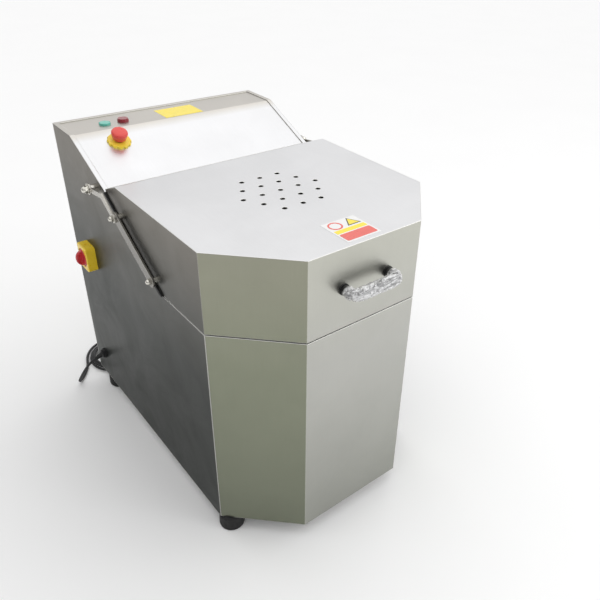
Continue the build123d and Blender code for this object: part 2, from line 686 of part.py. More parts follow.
start_button = push_button(START_PLANE, 5.5)
save(start_button, "start_button")
stop_button = push_button(STOP_PLANE, 8.5)
save(stop_button, "stop_button")

ESTOP_HEAD_R = 20.5
with BuildPart() as estop_collar:
    turned([(11.4, 0), (30, 0), (30, 2.5), (28, 5), (15, 6), (11.4, 6)], ESTOP_PLANE)
    with BuildSketch(ESTOP_PLANE) as scallops:
        with PolarLocations(32.5, 12):
            Circle(5.5)
    extrude(scallops.sketch, amount=12, mode=Mode.SUBTRACT)
save(estop_collar, "estop_collar")

with BuildPart() as estop_stem:
    disc(8, ESTOP_PLANE.offset(-14), 38)
save(estop_stem, "estop_stem")

with BuildPart() as estop_button:
    turned([(8 + CLEAR, 11), (16, 11), (17, 12), (ESTOP_HEAD_R - 1, 22),
            (ESTOP_HEAD_R, 26), (ESTOP_HEAD_R - 0.4, 29), (ESTOP_HEAD_R - 2.5, 32),
            (ESTOP_HEAD_R - 7, 33.6), (0, 34.5), (0, 25), (8 + CLEAR, 25)], ESTOP_PLANE)
save(estop_button, "estop_button")


def contact_block(place, width, depth, bore_r, bore_depth):
    """Switch block under a panel sheet, hollow where the button's stem enters."""
    with BuildSketch(place.offset(-SHEET)) as section:
        RectangleRounded(width, width, 3)
    extrude(section.sketch, amount=-depth)
    disc(bore_r, place.offset(-SHEET), -bore_depth, Mode.SUBTRACT)


with BuildPart() as contact_blocks:
    contact_block(START_PLANE, 30, 48, 8, 22)
    contact_block(STOP_PLANE, 30, 48, 8, 22)
    contact_block(ESTOP_PLANE, 34, 48, 10, 22)
    with BuildSketch(side_plane(-1, *ISOLATOR, x=HALF_W - SHEET)) as block:
        RectangleRounded(50, 54, 3)
    extrude(block.sketch, amount=-45)
save(contact_blocks, "contact_blocks")

ISOLATOR_PLANE = side_plane(-1, *ISOLATOR)
ISOLATOR_DEPTH = 26.0
with BuildPart() as isolator_bezel:
    with BuildSketch(ISOLATOR_PLANE) as section:
        RectangleRounded(62, 72, 9)
    extrude(section.sketch, amount=ISOLATOR_DEPTH)
    fillet(faces().sort_by(Axis.X)[0].edges(), 3)
    disc(26.5, ISOLATOR_PLANE.offset(ISOLATOR_DEPTH - 6), 20, Mode.SUBTRACT)
    disc(5 + CLEAR, ISOLATOR_PLANE.offset(8), 40, Mode.SUBTRACT)
    with Locations((-HALF_W - 11, ISOLATOR[0], ISOLATOR[1] + 36)):
        Box(10, 5, 3, mode=Mode.SUBTRACT)
save(isolator_bezel, "isolator_bezel")

KNOB_PLANE = ISOLATOR_PLANE.offset(ISOLATOR_DEPTH - 5.5)
GRIP_HALF = 22.0            # half the length of the knob's grip
GRIP_REACH = 18.0
GRIP_THICK = 11.0
with BuildPart() as isolator_knob:
    with BuildSketch(Plane(KNOB_PLANE.origin, x_dir=(0, 0, 1), z_dir=(0, 1, 0))) as grip:
        with BuildLine():
            Line((-GRIP_HALF, -3), (GRIP_HALF, -3))
            Line((GRIP_HALF, -3), (GRIP_HALF, -6))
            EllipticalCenterArc((0, -6), GRIP_HALF, GRIP_REACH, 180, arc_size=180)
            Line((-GRIP_HALF, -6), (-GRIP_HALF, -3))
        make_face()
    extrude(grip.sketch, amount=GRIP_THICK / 2, both=True)
    fillet(edges().filter_by(GeomType.ELLIPSE), 3)
    disc(5, KNOB_PLANE, -11)
    turned([(0, 0), (24.5, 0), (24.5, 4), (22, 7), (0, 7)], KNOB_PLANE)
save(isolator_knob, "isolator_knob")

with BuildPart() as rating_label:
    with Locations((21, 375.5, STRIP_Z + 0.2)):
        Box(112, 79, 0.4)
save(rating_label, "rating_label")

# ---------------------------------------------------------------- power cord
GLAND_PLANE = side_plane(-1, *GLAND)
RELIEF_DIRECTION = Vector(-0.85, 0.18, -0.5).normalized()
RELIEF_PLANE = Plane((-HALF_W - 11, *GLAND), z_dir=RELIEF_DIRECTION)
RELIEF_LENGTH = 24.0
with BuildPart() as cable_gland:
    disc(9.9, GLAND_PLANE.offset(-SHEET - 8), SHEET + 8)
    hexagon(27, GLAND_PLANE, 6)
    turned([(0, 6), (13, 6), (13, 11), (10, 14), (0, 14)], GLAND_PLANE)
    hexagon(26, GLAND_PLANE.offset(-SHEET - 6), 6)
save(cable_gland, "cable_gland")

with BuildPart() as strain_relief:
    turned([(0, 0), (7.5, 0), (7.5, 5), (5.5, RELIEF_LENGTH), (0, RELIEF_LENGTH)], RELIEF_PLANE)
save(strain_relief, "strain_relief")

CORD_EXIT = RELIEF_PLANE.origin + RELIEF_DIRECTION * RELIEF_LENGTH
CORD_ROUTE = [
    CORD_EXIT, CORD_EXIT + RELIEF_DIRECTION * 22, (-361, 400, 90), (-370, 412, 67),
    (-377, 428, 40), (-379, 442, 19), (-371, 457, 7), (-354, 476, 5), (-336, 500, 5),
    (-322, 526, 5),
]


def corner_radii(route):
    """Largest smooth arc at each inner point: 0.45 of the shorter run over tan(half the turn)."""
    points = [Vector(*p) for p in route]
    radii = []
    for before, here, after in zip(points, points[1:], points[2:]):
        turn = (here - before).get_angle(after - here)
        shorter = min((here - before).length, (after - here).length)
        radii.append(0.45 * shorter / tan(radians(turn / 2)))
    return radii


cord_radii = corner_radii(CORD_ROUTE)
print("cord bend radii:", [round(r, 1) for r in cord_radii])
with BuildPart() as power_cord:
    with BuildLine() as path:
        FilletPolyline(*CORD_ROUTE, radius=cord_radii)
    with BuildSketch(Plane(path.line @ 0, z_dir=path.line % 0)) as section:
        Circle(CORD_D / 2)
    sweep(section.sketch, path=path.line)
route_length = sum(edge.length for edge in path.edges())
print("cord tube length:", round(route_length, 1),
      "volume ratio:", round(power_cord.part.volume / (section.sketch.area * route_length), 4))
save(power_cord, "power_cord")

with BuildPart() as cord_coil:
    turned([(COIL_INNER_R, 1), (COIL_OUTER_R - 4, 1), (COIL_OUTER_R, 5), (COIL_OUTER_R, 16),
            (COIL_OUTER_R - 12, 26), (COIL_INNER_R + 10, 26), (COIL_INNER_R, 16)],
           level(0, *COIL_CENTRE))
save(cord_coil, "cord_coil")

PLUG_Y = COIL_CENTRE[1] + 84
PLUG_X = COIL_CENTRE[0] + 60
PLUG_PLANE = Plane((PLUG_X, PLUG_Y, 17), x_dir=(0, 1, 0), z_dir=(1, 0, 0))
with BuildPart() as mains_plug:
    turned([(0, 0), (5.5, 0), (8, 24), (0, 24)], PLUG_PLANE)
    with BuildSketch(PLUG_PLANE.offset(22)) as back_face:
        RectangleRounded(24, 20, 7)
    with BuildSketch(PLUG_PLANE.offset(44)) as front_face:
        RectangleRounded(42, 32, 10)
    loft([back_face.sketch.faces()[0], front_face.sketch.faces()[0]])
    with BuildSketch(PLUG_PLANE.offset(44)) as flange:
        RectangleRounded(42, 32, 10)
    extrude(flange.sketch, amount=12)
    with BuildSketch(PLUG_PLANE.offset(56)) as pins:
        with Locations((0, 8)):
            Rectangle(6.2, 2)
        with Locations((-8, -4)):
            Rectangle(2, 6.2, rotation=-30)
        with Locations((8, -4)):
            Rectangle(2, 6.2, rotation=30)
    extrude(pins.sketch, amount=18)
save(mains_plug, "mains_plug")
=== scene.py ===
import math

import bmesh
import bpy
from mathutils import Matrix, Vector, noise


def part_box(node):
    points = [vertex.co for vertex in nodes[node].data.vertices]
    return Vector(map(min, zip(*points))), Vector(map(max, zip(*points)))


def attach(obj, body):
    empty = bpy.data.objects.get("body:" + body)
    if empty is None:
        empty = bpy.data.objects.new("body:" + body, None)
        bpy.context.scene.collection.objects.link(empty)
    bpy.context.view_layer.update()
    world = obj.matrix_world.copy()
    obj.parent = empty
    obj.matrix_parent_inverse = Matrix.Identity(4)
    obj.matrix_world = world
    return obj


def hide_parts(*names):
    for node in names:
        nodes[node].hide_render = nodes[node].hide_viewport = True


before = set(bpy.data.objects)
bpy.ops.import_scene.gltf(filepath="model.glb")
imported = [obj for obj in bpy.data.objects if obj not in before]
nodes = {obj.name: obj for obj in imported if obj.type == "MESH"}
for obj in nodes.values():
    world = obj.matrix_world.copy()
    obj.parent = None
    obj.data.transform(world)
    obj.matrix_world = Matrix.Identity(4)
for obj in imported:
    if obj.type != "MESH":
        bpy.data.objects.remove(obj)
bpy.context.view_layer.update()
scene = bpy.context.scene

# ---------------------------------------------------------------- camera
# The viewer stands off the front left corner and looks down at the machine.
YAW, PITCH, ROLL = 0.7069, 0.5549, 0.0396
forward = Vector((math.sin(YAW) * math.cos(PITCH), math.cos(YAW) * math.cos(PITCH),
                  -math.sin(PITCH)))
level_right = Vector((math.cos(YAW), -math.sin(YAW), 0))
level_up = level_right.cross(forward)
right = level_right * math.cos(ROLL) + level_up * math.sin(ROLL)
up = level_up * math.cos(ROLL) - level_right * math.sin(ROLL)
camera_data = bpy.data.cameras.new("camera")
camera_data.sensor_width = 36
camera_data.lens = 38.483
camera_data.shift_x = -0.06055
camera_data.shift_y = -0.02097
camera_data.clip_end = 100
camera = bpy.data.objects.new("camera", camera_data)
scene.collection.objects.link(camera)
camera.matrix_world = Matrix((
    (right.x, up.x, -forward.x, -0.7832),
    (right.y, up.y, -forward.y, -1.2764),
    (right.z, up.z, -forward.z, 1.3822),
    (0, 0, 0, 1),
))
scene.camera = camera
scene.view_settings.view_transform = "Standard"


# ---------------------------------------------------------------- materials
class Shader:
    """A procedural material on object coordinates, built a node at a time."""

    def __init__(self, name, color, metallic=0.0, roughness=0.5, **extra):
        self.material = bpy.data.materials.new(name)
        self.material.use_nodes = True
        self.tree = self.material.node_tree
        self.bsdf = self.tree.nodes["Principled BSDF"]
        self.set("Base Color", (*color, 1))
        self.set("Metallic", metallic)
        self.set("Roughness", roughness)
        for socket, value in extra.items():
            self.set(socket.replace("_", " "), value)
        place = self.tree.nodes.new("ShaderNodeTexCoord")
        self.coordinates = place.outputs["Object"]
        self.normals = place.outputs["Normal"]
        self.height = None

    def set(self, socket, value):
        self.bsdf.inputs[socket].default_value = value

    def link(self, output, target):
        self.tree.links.new(output, target)

    def stretched(self, scale, turn=(0, 0, 0)):
        """Object coordinates scaled along each axis."""
        mapping = self.tree.nodes.new("ShaderNodeMapping")
        mapping.inputs["Scale"].default_value = scale
        mapping.inputs["Rotation"].default_value = turn
        self.link(self.coordinates, mapping.inputs["Vector"])
        return mapping.outputs["Vector"]

    def noise(self, scale, detail=3.0, rough=0.5, vector=None, distortion=0.0):
        texture = self.tree.nodes.new("ShaderNodeTexNoise")
        texture.inputs["Scale"].default_value = scale
        texture.inputs["Detail"].default_value = detail
        texture.inputs["Roughness"].default_value = rough
        texture.inputs["Distortion"].default_value = distortion
        self.link(vector or self.coordinates, texture.inputs["Vector"])
        return texture.outputs["Fac"]

    def spread(self, factor, low, high, out_low=0.0, out_high=1.0):
        """Map low..high of factor to out_low..out_high."""
        ranged = self.tree.nodes.new("ShaderNodeMapRange")
        for socket, value in (("From Min", low), ("From Max", high), ("To Min", out_low),
                              ("To Max", out_high)):
            ranged.inputs[socket].default_value = value
        self.link(factor, ranged.inputs["Value"])
        return ranged.outputs["Result"]

    def ramp(self, factor, stops):
        """Colour ramp; stops are (position, colour)."""
        ramp = self.tree.nodes.new("ShaderNodeValToRGB")
        elements = ramp.color_ramp.elements
        while len(elements) < len(stops):
            elements.new(0.5)
        for element, (position, color) in zip(elements, stops):
            element.position = position
            element.color = (*color, 1)
        self.link(factor, ramp.inputs["Fac"])
        return ramp.outputs["Color"]

    def mix(self, factor, first, second, blend="MIX"):
        node = self.tree.nodes.new("ShaderNodeMix")
        node.data_type = "RGBA"
        node.blend_type = blend
        if isinstance(factor, float):
            node.inputs["Factor"].default_value = factor
        else:
            self.link(factor, node.inputs["Factor"])
        for socket, value in (("A", first), ("B", second)):
            target = [i for i in node.inputs if i.name == socket and i.type == "RGBA"][0]
            if isinstance(value, tuple):
                target.default_value = (*value, 1)
            else:
                self.link(value, target)
        return [o for o in node.outputs if o.type == "RGBA"][0]

    def math(self, operation, first, second):
        node = self.tree.nodes.new("ShaderNodeMath")
        node.operation = operation
        for target, value in zip(node.inputs, (first, second)):
            if isinstance(value, (int, float)):
                target.default_value = value
            else:
                self.link(value, target)
        return node.outputs["Value"]

    def blend_values(self, factor, first, second):
        """first where factor is 0, second where it is 1."""
        node = self.tree.nodes.new("ShaderNodeMix")
        for target, value in zip(("Factor", "A", "B"), (factor, first, second)):
            socket = [i for i in node.inputs if i.name == target and i.type == "VALUE"][0]
            self.link(value, socket)
        return [o for o in node.outputs if o.type == "VALUE"][0]

    def soften(self, radius):
        """Round the look of folded edges, and return how far each point is into a fold, 0 to 1."""
        node = self.tree.nodes.new("ShaderNodeBevel")
        node.samples = 8
        node.inputs["Radius"].default_value = radius
        self.height = node.outputs["Normal"]
        turn = self.tree.nodes.new("ShaderNodeVectorTransform")
        turn.vector_type = "NORMAL"
        turn.convert_from, turn.convert_to = "WORLD", "OBJECT"
        self.link(self.height, turn.inputs["Vector"])
        bent = self.tree.nodes.new("ShaderNodeVectorMath")
        bent.operation = "DOT_PRODUCT"
        self.link(turn.outputs["Vector"], bent.inputs[0])
        self.link(self.normals, bent.inputs[1])
        self.folded = turn.outputs["Vector"]
        return self.spread(bent.outputs["Value"], 0.99, 0.8)

    def split(self, vector):
        """The X, Y and Z of a vector."""
        parts = self.tree.nodes.new("ShaderNodeSeparateXYZ")
        self.link(vector, parts.inputs["Vector"])
        return parts.outputs

    def color(self, output):
        self.link(output, self.bsdf.inputs["Base Color"])

    def roughness(self, output):
        self.link(output, self.bsdf.inputs["Roughness"])

    def bump(self, height, strength, distance):
        """Add one layer of relief on top of those before it."""
        node = self.tree.nodes.new("ShaderNodeBump")
        node.inputs["Strength"].default_value = strength
        node.inputs["Distance"].default_value = distance
        self.link(height, node.inputs["Height"])
        if self.height:
            self.link(self.height, node.inputs["Normal"])
        self.height = node.outputs["Normal"]
        self.link(self.height, self.bsdf.inputs["Normal"])


def steel(name, tone, grain=(1, 1, 1), rough=(0.3, 0.42), mottle=0.06, streak=0.05):
    """Ground stainless steel: tone is its mean colour, grain the scale across each axis."""
    s = Shader(name, tone, metallic=1.0, roughness=sum(rough) / 2)
    light = tuple(min(1.0, v * (1 + mottle)) for v in tone)
    dark = tuple(v * (1 - mottle) for v in tone)
    clouds = s.noise(4.5, 4.0, 0.55, distortion=0.3)
    base = s.ramp(clouds, [(0.32, dark), (0.52, tone), (0.72, light)])
    lines = s.noise(1.0, 4.0, 0.65, vector=s.stretched(grain))
    fine = s.ramp(lines, [(0.3, (1 - streak,) * 3), (0.7, (1.0,) * 3)])
    s.color(s.mix(1.0, base, fine, "MULTIPLY"))
    smudge = s.noise(9.0, 5.0, 0.6, distortion=0.8)
    wide = s.spread(smudge, 0.3, 0.7, *rough)
    s.roughness(s.math("ADD", wide, s.spread(lines, 0.2, 0.8, -0.03, 0.03)))
    s.bump(lines, 0.12, 0.00012)
    return s.material


FINE = 900.0
LONG = 14.0
# Painted light: faces that point up are given this much lighter tone.
LEVEL_LIT_TONE = (0.83, 0.83, 0.84)
STRIP_TONE = (0.71, 0.68, 0.635)   # the flat strip on the hump
STRIP_HEIGHTS = (0.828, 0.838)
# Painted highlight laid along the folded edges.
EDGE_HIGHLIGHT_TONE = (0.94, 0.93, 0.88)
# Painted shade on the upright faces: tones from the floor up to the top of the hump, darker
# towards the floor, darker on the corners and darkest on the sides. Both sides share one set and
# so do both front corners.
FRONT_SHADE_TONES = ((0.41, 0.415, 0.38), (0.505, 0.505, 0.475), (0.55, 0.55, 0.49))
CORNER_SHADE_TONES = ((0.215, 0.23, 0.175), (0.27, 0.285, 0.215), (0.335, 0.335, 0.265))
SIDE_SHADE_TONES = ((0.05, 0.055, 0.05), (0.07, 0.075, 0.07), (0.13, 0.13, 0.12),
              (0.24, 0.225, 0.20))
FRONT_SHADE_HEIGHTS = (0.10, 0.52, 0.80)
SIDE_SHADE_HEIGHTS = (0.10, 0.45, 0.62, 0.80)


def casing_sheet(name, rough=(0.30, 0.42)):
    """Satin stainless sheet with light and shade painted into its tone by the way a face points
    and by its height, darker towards the floor; its folded edges are painted as highlights.
    """
    s = Shader(name, FRONT_SHADE_TONES[1], metallic=1.0, roughness=sum(rough) / 2,
               Specular_Tint=(0.78, 0.78, 0.78, 1))
    fold = s.soften(0.0032)
    facing = s.split(s.folded)
    height = s.split(s.coordinates)["Z"]
    sideward = s.math("MAXIMUM", facing["X"], s.math("MULTIPLY", facing["X"], -1.0))
    # Painted shade: each upright face darkens towards the floor, the corners more and the sides
    # most.
    front, corner, side = (s.ramp(height, list(zip(heights, tones))) for heights, tones in (
        (FRONT_SHADE_HEIGHTS, FRONT_SHADE_TONES), (FRONT_SHADE_HEIGHTS, CORNER_SHADE_TONES), (SIDE_SHADE_HEIGHTS, SIDE_SHADE_TONES)))
    shaded_walls = s.mix(s.spread(sideward, 0.30, 0.66), front, corner)
    shaded_walls = s.mix(s.spread(sideward, 0.74, 0.97), shaded_walls, side)
    # Painted light: faces that point up take the lighter level tone.
    flat = s.spread(facing["Z"], 0.3, 0.75)
    level = s.mix(s.spread(height, *STRIP_HEIGHTS), LEVEL_LIT_TONE, STRIP_TONE)
    base = s.mix(flat, shaded_walls, level)
    # Painted highlight: folded edges lightened toward the edge tone.
    base = s.mix(s.math("MULTIPLY", fold, 0.8), base, EDGE_HIGHLIGHT_TONE)
    upright = s.noise(1.0, 4.0, 0.65, vector=s.stretched((FINE, FINE, LONG)))
    lengthwise = s.noise(1.0, 4.0, 0.65, vector=s.stretched((FINE, LONG, LONG)))
    lines = s.blend_values(flat, upright, lengthwise)
    clouds = s.noise(3.5, 4.0, 0.55, distortion=0.4)
    base = s.mix(1.0, base, s.ramp(clouds, [(0.3, (0.94,) * 3), (0.6, (1.0,) * 3)]),
                 "MULTIPLY")
    base = s.mix(1.0, base, s.ramp(lines, [(0.3, (0.96,) * 3), (0.7, (1.0,) * 3)]),
                 "MULTIPLY")
    s.color(base)
    smudge = s.noise(7.0, 5.0, 0.6, distortion=0.8)
    wide = s.spread(smudge, 0.3, 0.7, *rough)
    s.roughness(s.math("ADD", wide, s.spread(lines, 0.2, 0.8, -0.03, 0.03)))
    s.bump(lines, 0.10, 0.0001)
    return s.material


def bar_steel(name, tone, edge):
    """Flat drawn bar, its corners lightened toward edge as a painted highlight."""
    s = Shader(name, tone, metallic=1.0, roughness=0.28)
    fold = s.soften(0.0015)
    lines = s.noise(1.0, 4.0, 0.65, vector=s.stretched((LONG, LONG * 3, FINE)))
    stain = s.noise(60.0, 4.0, 0.6)
    base = s.ramp(stain, [(0.3, tuple(v * 0.8 for v in tone)), (0.7, tone)])
    # Painted highlight: the folded corners are lightened toward edge.
    s.color(s.mix(fold, base, edge))
    s.roughness(s.spread(stain, 0.3, 0.7, 0.22, 0.36))
    s.bump(lines, 0.15, 0.0001)
    return s.material


shaded_sheet_steel = casing_sheet("steel_sheet_painted_shade")
inner_steel = steel("steel_inner", (0.62, 0.62, 0.61), (LONG, FINE, FINE), (0.35, 0.5))
turned_steel = steel("steel_turned", (0.70, 0.70, 0.69), (LONG, LONG, FINE), (0.16, 0.28),
                     mottle=0.03)
# The same bar steel twice: a darker copy painted as shade for the front arms, a paler one for the
# rear arms.
shaded_bar_steel = bar_steel("steel_bar_painted_shade", (0.26, 0.25, 0.23), (0.70, 0.68, 0.62))
lit_bar_steel = bar_steel("steel_bar_lit", (0.50, 0.48, 0.44), (0.85, 0.83, 0.76))
blade_steel = steel("steel_blade", (0.76, 0.77, 0.78), (FINE, FINE, LONG), (0.12, 0.22),
                    mottle=0.02)


def plated():
    s = Shader("plated", (0.70, 0.68, 0.63), metallic=1.0, roughness=0.2)
    cloud = s.noise(120.0, 4.0, 0.6)
    s.color(s.ramp(cloud, [(0.3, (0.60, 0.58, 0.52)), (0.7, (0.82, 0.80, 0.74))]))
    s.roughness(s.spread(cloud, 0.3, 0.7, 0.12, 0.34))
    s.bump(s.noise(800.0, 2.0), 0.15, 0.0001)
    return s.material


def plastic(name, color, rough=0.4, speckle=0.12, grain=1500.0, depth=0.00008, coat=0.0):
    """Moulded plastic or rubber with a fine grain, dust and paler worn patches."""
    s = Shader(name, color, roughness=rough, Coat_Weight=coat)
    dark = tuple(v * (1 - speckle) for v in color)
    pale = tuple(v + (0.5 - v) * speckle * 0.5 for v in color)
    patches = s.noise(28.0, 5.0, 0.6)
    s.color(s.ramp(patches, [(0.3, dark), (0.55, color), (0.78, pale)]))
    s.roughness(s.spread(s.noise(60.0, 4.0), 0.3, 0.7, rough - 0.07, rough + 0.1))
    s.bump(s.noise(grain, 2.0, 0.5), 0.3, depth)
    return s.material


def paint(name, color, rough=0.4):
    s = Shader(name, color, roughness=rough, Coat_Weight=0.2)
    patches = s.noise(14.0, 5.0, 0.6)
    s.color(s.ramp(patches, [(0.3, tuple(v * 0.82 for v in color)), (0.7, color)]))
    s.roughness(s.spread(patches, 0.3, 0.7, rough - 0.08, rough + 0.12))
    s.bump(s.noise(260.0, 2.0, 0.5), 0.25, 0.00025)
    return s.material


def casting(name, color):
    s = Shader(name, color, metallic=0.8, roughness=0.5)
    pits = s.noise(420.0, 4.0, 0.6)
    s.color(s.ramp(s.noise(30.0, 4.0), [(0.3, tuple(v * 0.7 for v in color)), (0.7, color)]))
    s.roughness(s.spread(pits, 0.3, 0.7, 0.4, 0.62))
    s.bump(pits, 0.4, 0.0003)
    return s.material


plated_steel = plated()
black_rubber = plastic("rubber_black", (0.011, 0.011, 0.011), 0.70, 0.12, 900.0, 0.00015)
black_plastic = plastic("plastic_black", (0.011, 0.011, 0.012), 0.42, 0.08)
handle_plastic = plastic("plastic_handle", (0.010, 0.010, 0.011), 0.32, 0.06, coat=0.15)
grey_plastic = plastic("plastic_grey", (0.40, 0.41, 0.41), 0.45)
YELLOW = (0.98, 0.68, 0.03)
CRIMSON = (0.30, 0.012, 0.025)
TEAL = (0.12, 0.56, 0.45)
yellow_plastic = plastic("plastic_yellow", YELLOW, 0.32, 0.08, coat=0.2)
collar_plastic = plastic("plastic_collar", (0.95, 0.72, 0.06), 0.34, 0.08, coat=0.1)
red_plastic = plastic("plastic_red", (0.80, 0.075, 0.06), 0.32, 0.10, coat=0.2)
knob_plastic = plastic("plastic_knob", (0.58, 0.02, 0.03), 0.25, 0.14, coat=0.4)
crimson_plastic = plastic("plastic_crimson", CRIMSON, 0.22, 0.14, coat=0.5)
teal_plastic = plastic("plastic_teal", TEAL, 0.22, 0.10, coat=0.4)


def bezel_plastic():
    """The start button's bezel is teal and the stop button's, further right, is crimson."""
    s = Shader("plastic_bezels", TEAL, roughness=0.25, Coat_Weight=0.4)
    midway = sum(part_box("start_button")[0][:1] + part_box("stop_button")[1][:1]) / 2
    right_one = s.math("GREATER_THAN", s.split(s.coordinates)["X"], midway)
    grain = s.noise(200.0, 3.0)
    shade = s.ramp(grain, [(0.3, (0.85,) * 3), (0.7, (1.0,) * 3)])
    s.color(s.mix(1.0, s.mix(right_one, TEAL, CRIMSON), shade, "MULTIPLY"))
    s.roughness(s.spread(grain, 0.3, 0.7, 0.18, 0.34))
    s.bump(grain, 0.2, 0.0001)
    return s.material


bezels = bezel_plastic()
cord_material = plastic("cord_pvc", (0.010, 0.010, 0.011), 0.50, 0.10, 700.0, 0.0001)
frame_paint = paint("paint_frame", (0.28, 0.29, 0.30))
motor_paint = paint("paint_motor", (0.16, 0.22, 0.29))
cast_metal = casting("cast_metal", (0.34, 0.35, 0.36))


def film_label(name, color, edge):
    """Printed film, a little uneven, with a faint sheen."""
    s = Shader(name, color, roughness=0.3, Coat_Weight=0.3)
    worn = s.noise(90.0, 5.0, 0.6)
    s.color(s.ramp(worn, [(0.3, tuple(v * edge for v in color)), (0.6, color)]))
    s.roughness(s.spread(s.noise(25.0, 3.0), 0.3, 0.7, 0.22, 0.42))
    s.bump(s.noise(60.0, 3.0), 0.2, 0.0003)
    return s.material


yellow_label = film_label("label_yellow", (1.0, 0.80, 0.035), 0.94)
white_label = film_label("label_white", (0.88, 0.88, 0.87), 0.97)
red_print = film_label("label_red", (0.85, 0.13, 0.10), 0.9)
black_print = film_label("label_black", (0.03, 0.03, 0.03), 0.8)

SKINS = {
    shaded_sheet_steel: ["lid_shell", "console_panel", "left_side_panel", "right_side_panel",
                  "rear_panel", "front_panel"],
    inner_steel: ["floor_plate", "deck_plate", "tub", "drain_spout"],
    turned_steel: ["head_base", "head_frame", "feed_collar", "impeller", "impeller_nut", "pan",
                   "pan_handles"],
    shaded_bar_steel: ["front_arms"],
    lit_bar_steel: ["rear_arms"],
    blade_steel: ["dicing_knives", "separator_rings"],
    plated_steel: ["foot_bolts", "spindle_bearings", "pivot_studs", "pivot_nuts",
                   "arm_spacers", "arm_bolts", "spindle", "motor_shaft"],
    black_rubber: ["rubber_feet", "spindle_seal", "drive_belt", "lid_seal", "strain_relief",
                   "mains_plug"],
    black_plastic: ["contact_blocks", "cable_gland", "estop_stem"],
    handle_plastic: ["lid_handle"],
    grey_plastic: ["control_box"],
    yellow_plastic: ["isolator_bezel"],
    collar_plastic: ["estop_collar"],
    red_plastic: ["estop_button"],
    knob_plastic: ["isolator_knob"],
    crimson_plastic: ["stop_button"],
    teal_plastic: ["start_button"],
    bezels: ["button_bezels"],
    cord_material: ["power_cord", "cord_coil"],
    frame_paint: ["base_frame", "cross_rails", "spindle_bridge", "motor_plate"],
    motor_paint: ["motor_housing", "motor_fan_cover"],
    cast_metal: ["bearing_housing", "driven_pulley", "motor_pulley"],
    yellow_label: ["rating_label"],
    white_label: ["lid_label"],
}
for material, names in SKINS.items():
    for name in names:
        mesh = nodes[name].data
        mesh.materials.clear()
        mesh.materials.append(material)


def mesh_object(name, bm, material, smooth=True):
    mesh = bpy.data.meshes.new(name)
    bm.to_mesh(mesh)
    bm.free()
    mesh.materials.append(material)
    for polygon in mesh.polygons:
        polygon.use_smooth = smooth
    obj = bpy.data.objects.new(name, mesh)
    scene.collection.objects.link(obj)
    return obj


# ---------------------------------------------------------------- power cord
def route_curve(name, points, radius, material, resolution=10):
    """One smooth NURBS line through space with a round section."""
    curve = bpy.data.curves.new(name, "CURVE")
    curve.dimensions = "3D"
    curve.resolution_u = resolution
    curve.bevel_depth = radius
    curve.bevel_resolution = 6
    curve.use_fill_caps = True
    spline = curve.splines.new("NURBS")
    spline.points.add(len(points) - 1)
    for point, place in zip(spline.points, points):
        point.co = (*place, 1)
    spline.order_u = 3
    spline.use_endpoint_u = True
    curve.materials.append(material)
    obj = bpy.data.objects.new(name, curve)
    scene.collection.objects.link(obj)
    return obj


CORD_D = 0.008
relief = Vector((-0.85, 0.18, -0.5)).normalized()
cord_exit = Vector((-0.311, 0.382, 0.134)) + relief * 0.024
cord_points = [cord_exit, cord_exit + relief * 0.022]
cord_points += [Vector(p) for p in (
    (-0.361, 0.400, 0.090), (-0.370, 0.412, 0.067), (-0.377, 0.428, 0.040),
    (-0.379, 0.442, 0.019), (-0.371, 0.457, 0.007), (-0.354, 0.476, 0.005),
    (-0.336, 0.500, 0.005), (-0.322, 0.526, 0.005),
)]
coil = Vector((-0.219, 0.521, 0))
TURNS = 3.6
STEPS = 14                  # points a turn
COIL_START = 178            # degrees, where the lead meets its coil
COIL_R, COIL_PITCH = 0.0985, 0.0085
for step in range(1, int(TURNS * STEPS) + 1):
    along = step / STEPS
    angle = math.radians(COIL_START) - along * 2 * math.pi
    wobble = math.sin(along * 7.3) * 0.004 + math.sin(along * 2.1 + 1) * 0.002
    radius = COIL_R - COIL_PITCH * along + wobble
    height = 0.005 + 0.0045 * along + 0.0015 * math.sin(along * 11)
    offset = Vector((0.003 * math.sin(along * 1.7), 0.003 * math.cos(along * 2.3) - 0.003, 0))
    cord_points.append(coil + offset + Vector((radius * math.cos(angle),
                                               radius * math.sin(angle), height)))
cord = route_curve("flex", cord_points, CORD_D / 2, cord_material)
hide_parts("power_cord", "cord_coil")
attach(cord, "casing")


# ---------------------------------------------------------------- label prints
PRINT = 0.00025             # thickness of the printed patches


def plate(name, outline, z, material, body):
    """Thin printed patch standing on height z, with outline as (x, y) points."""
    bm = bmesh.new()
    face = bm.faces.new([bm.verts.new((x, y, z)) for x, y in outline])
    made = bmesh.ops.extrude_face_region(bm, geom=[face])
    for vert in made["geom"]:
        if isinstance(vert, bmesh.types.BMVert):
            vert.co.z += PRINT
    bmesh.ops.recalc_face_normals(bm, faces=bm.faces)
    obj = mesh_object(name, bm, material, smooth=False)
    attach(obj, body)
    return obj


def rounded(x0, y0, x1, y1, radius, steps=6):
    """Outline of a rectangle with round corners."""
    corners = ((x1 - radius, y1 - radius, 0), (x0 + radius, y1 - radius, 90),
               (x0 + radius, y0 + radius, 180), (x1 - radius, y0 + radius, 270))
    return [(x + radius * math.cos(math.radians(start + 90 * k / steps)),
             y + radius * math.sin(math.radians(start + 90 * k / steps)))
            for x, y, start in corners for k in range(steps + 1)]


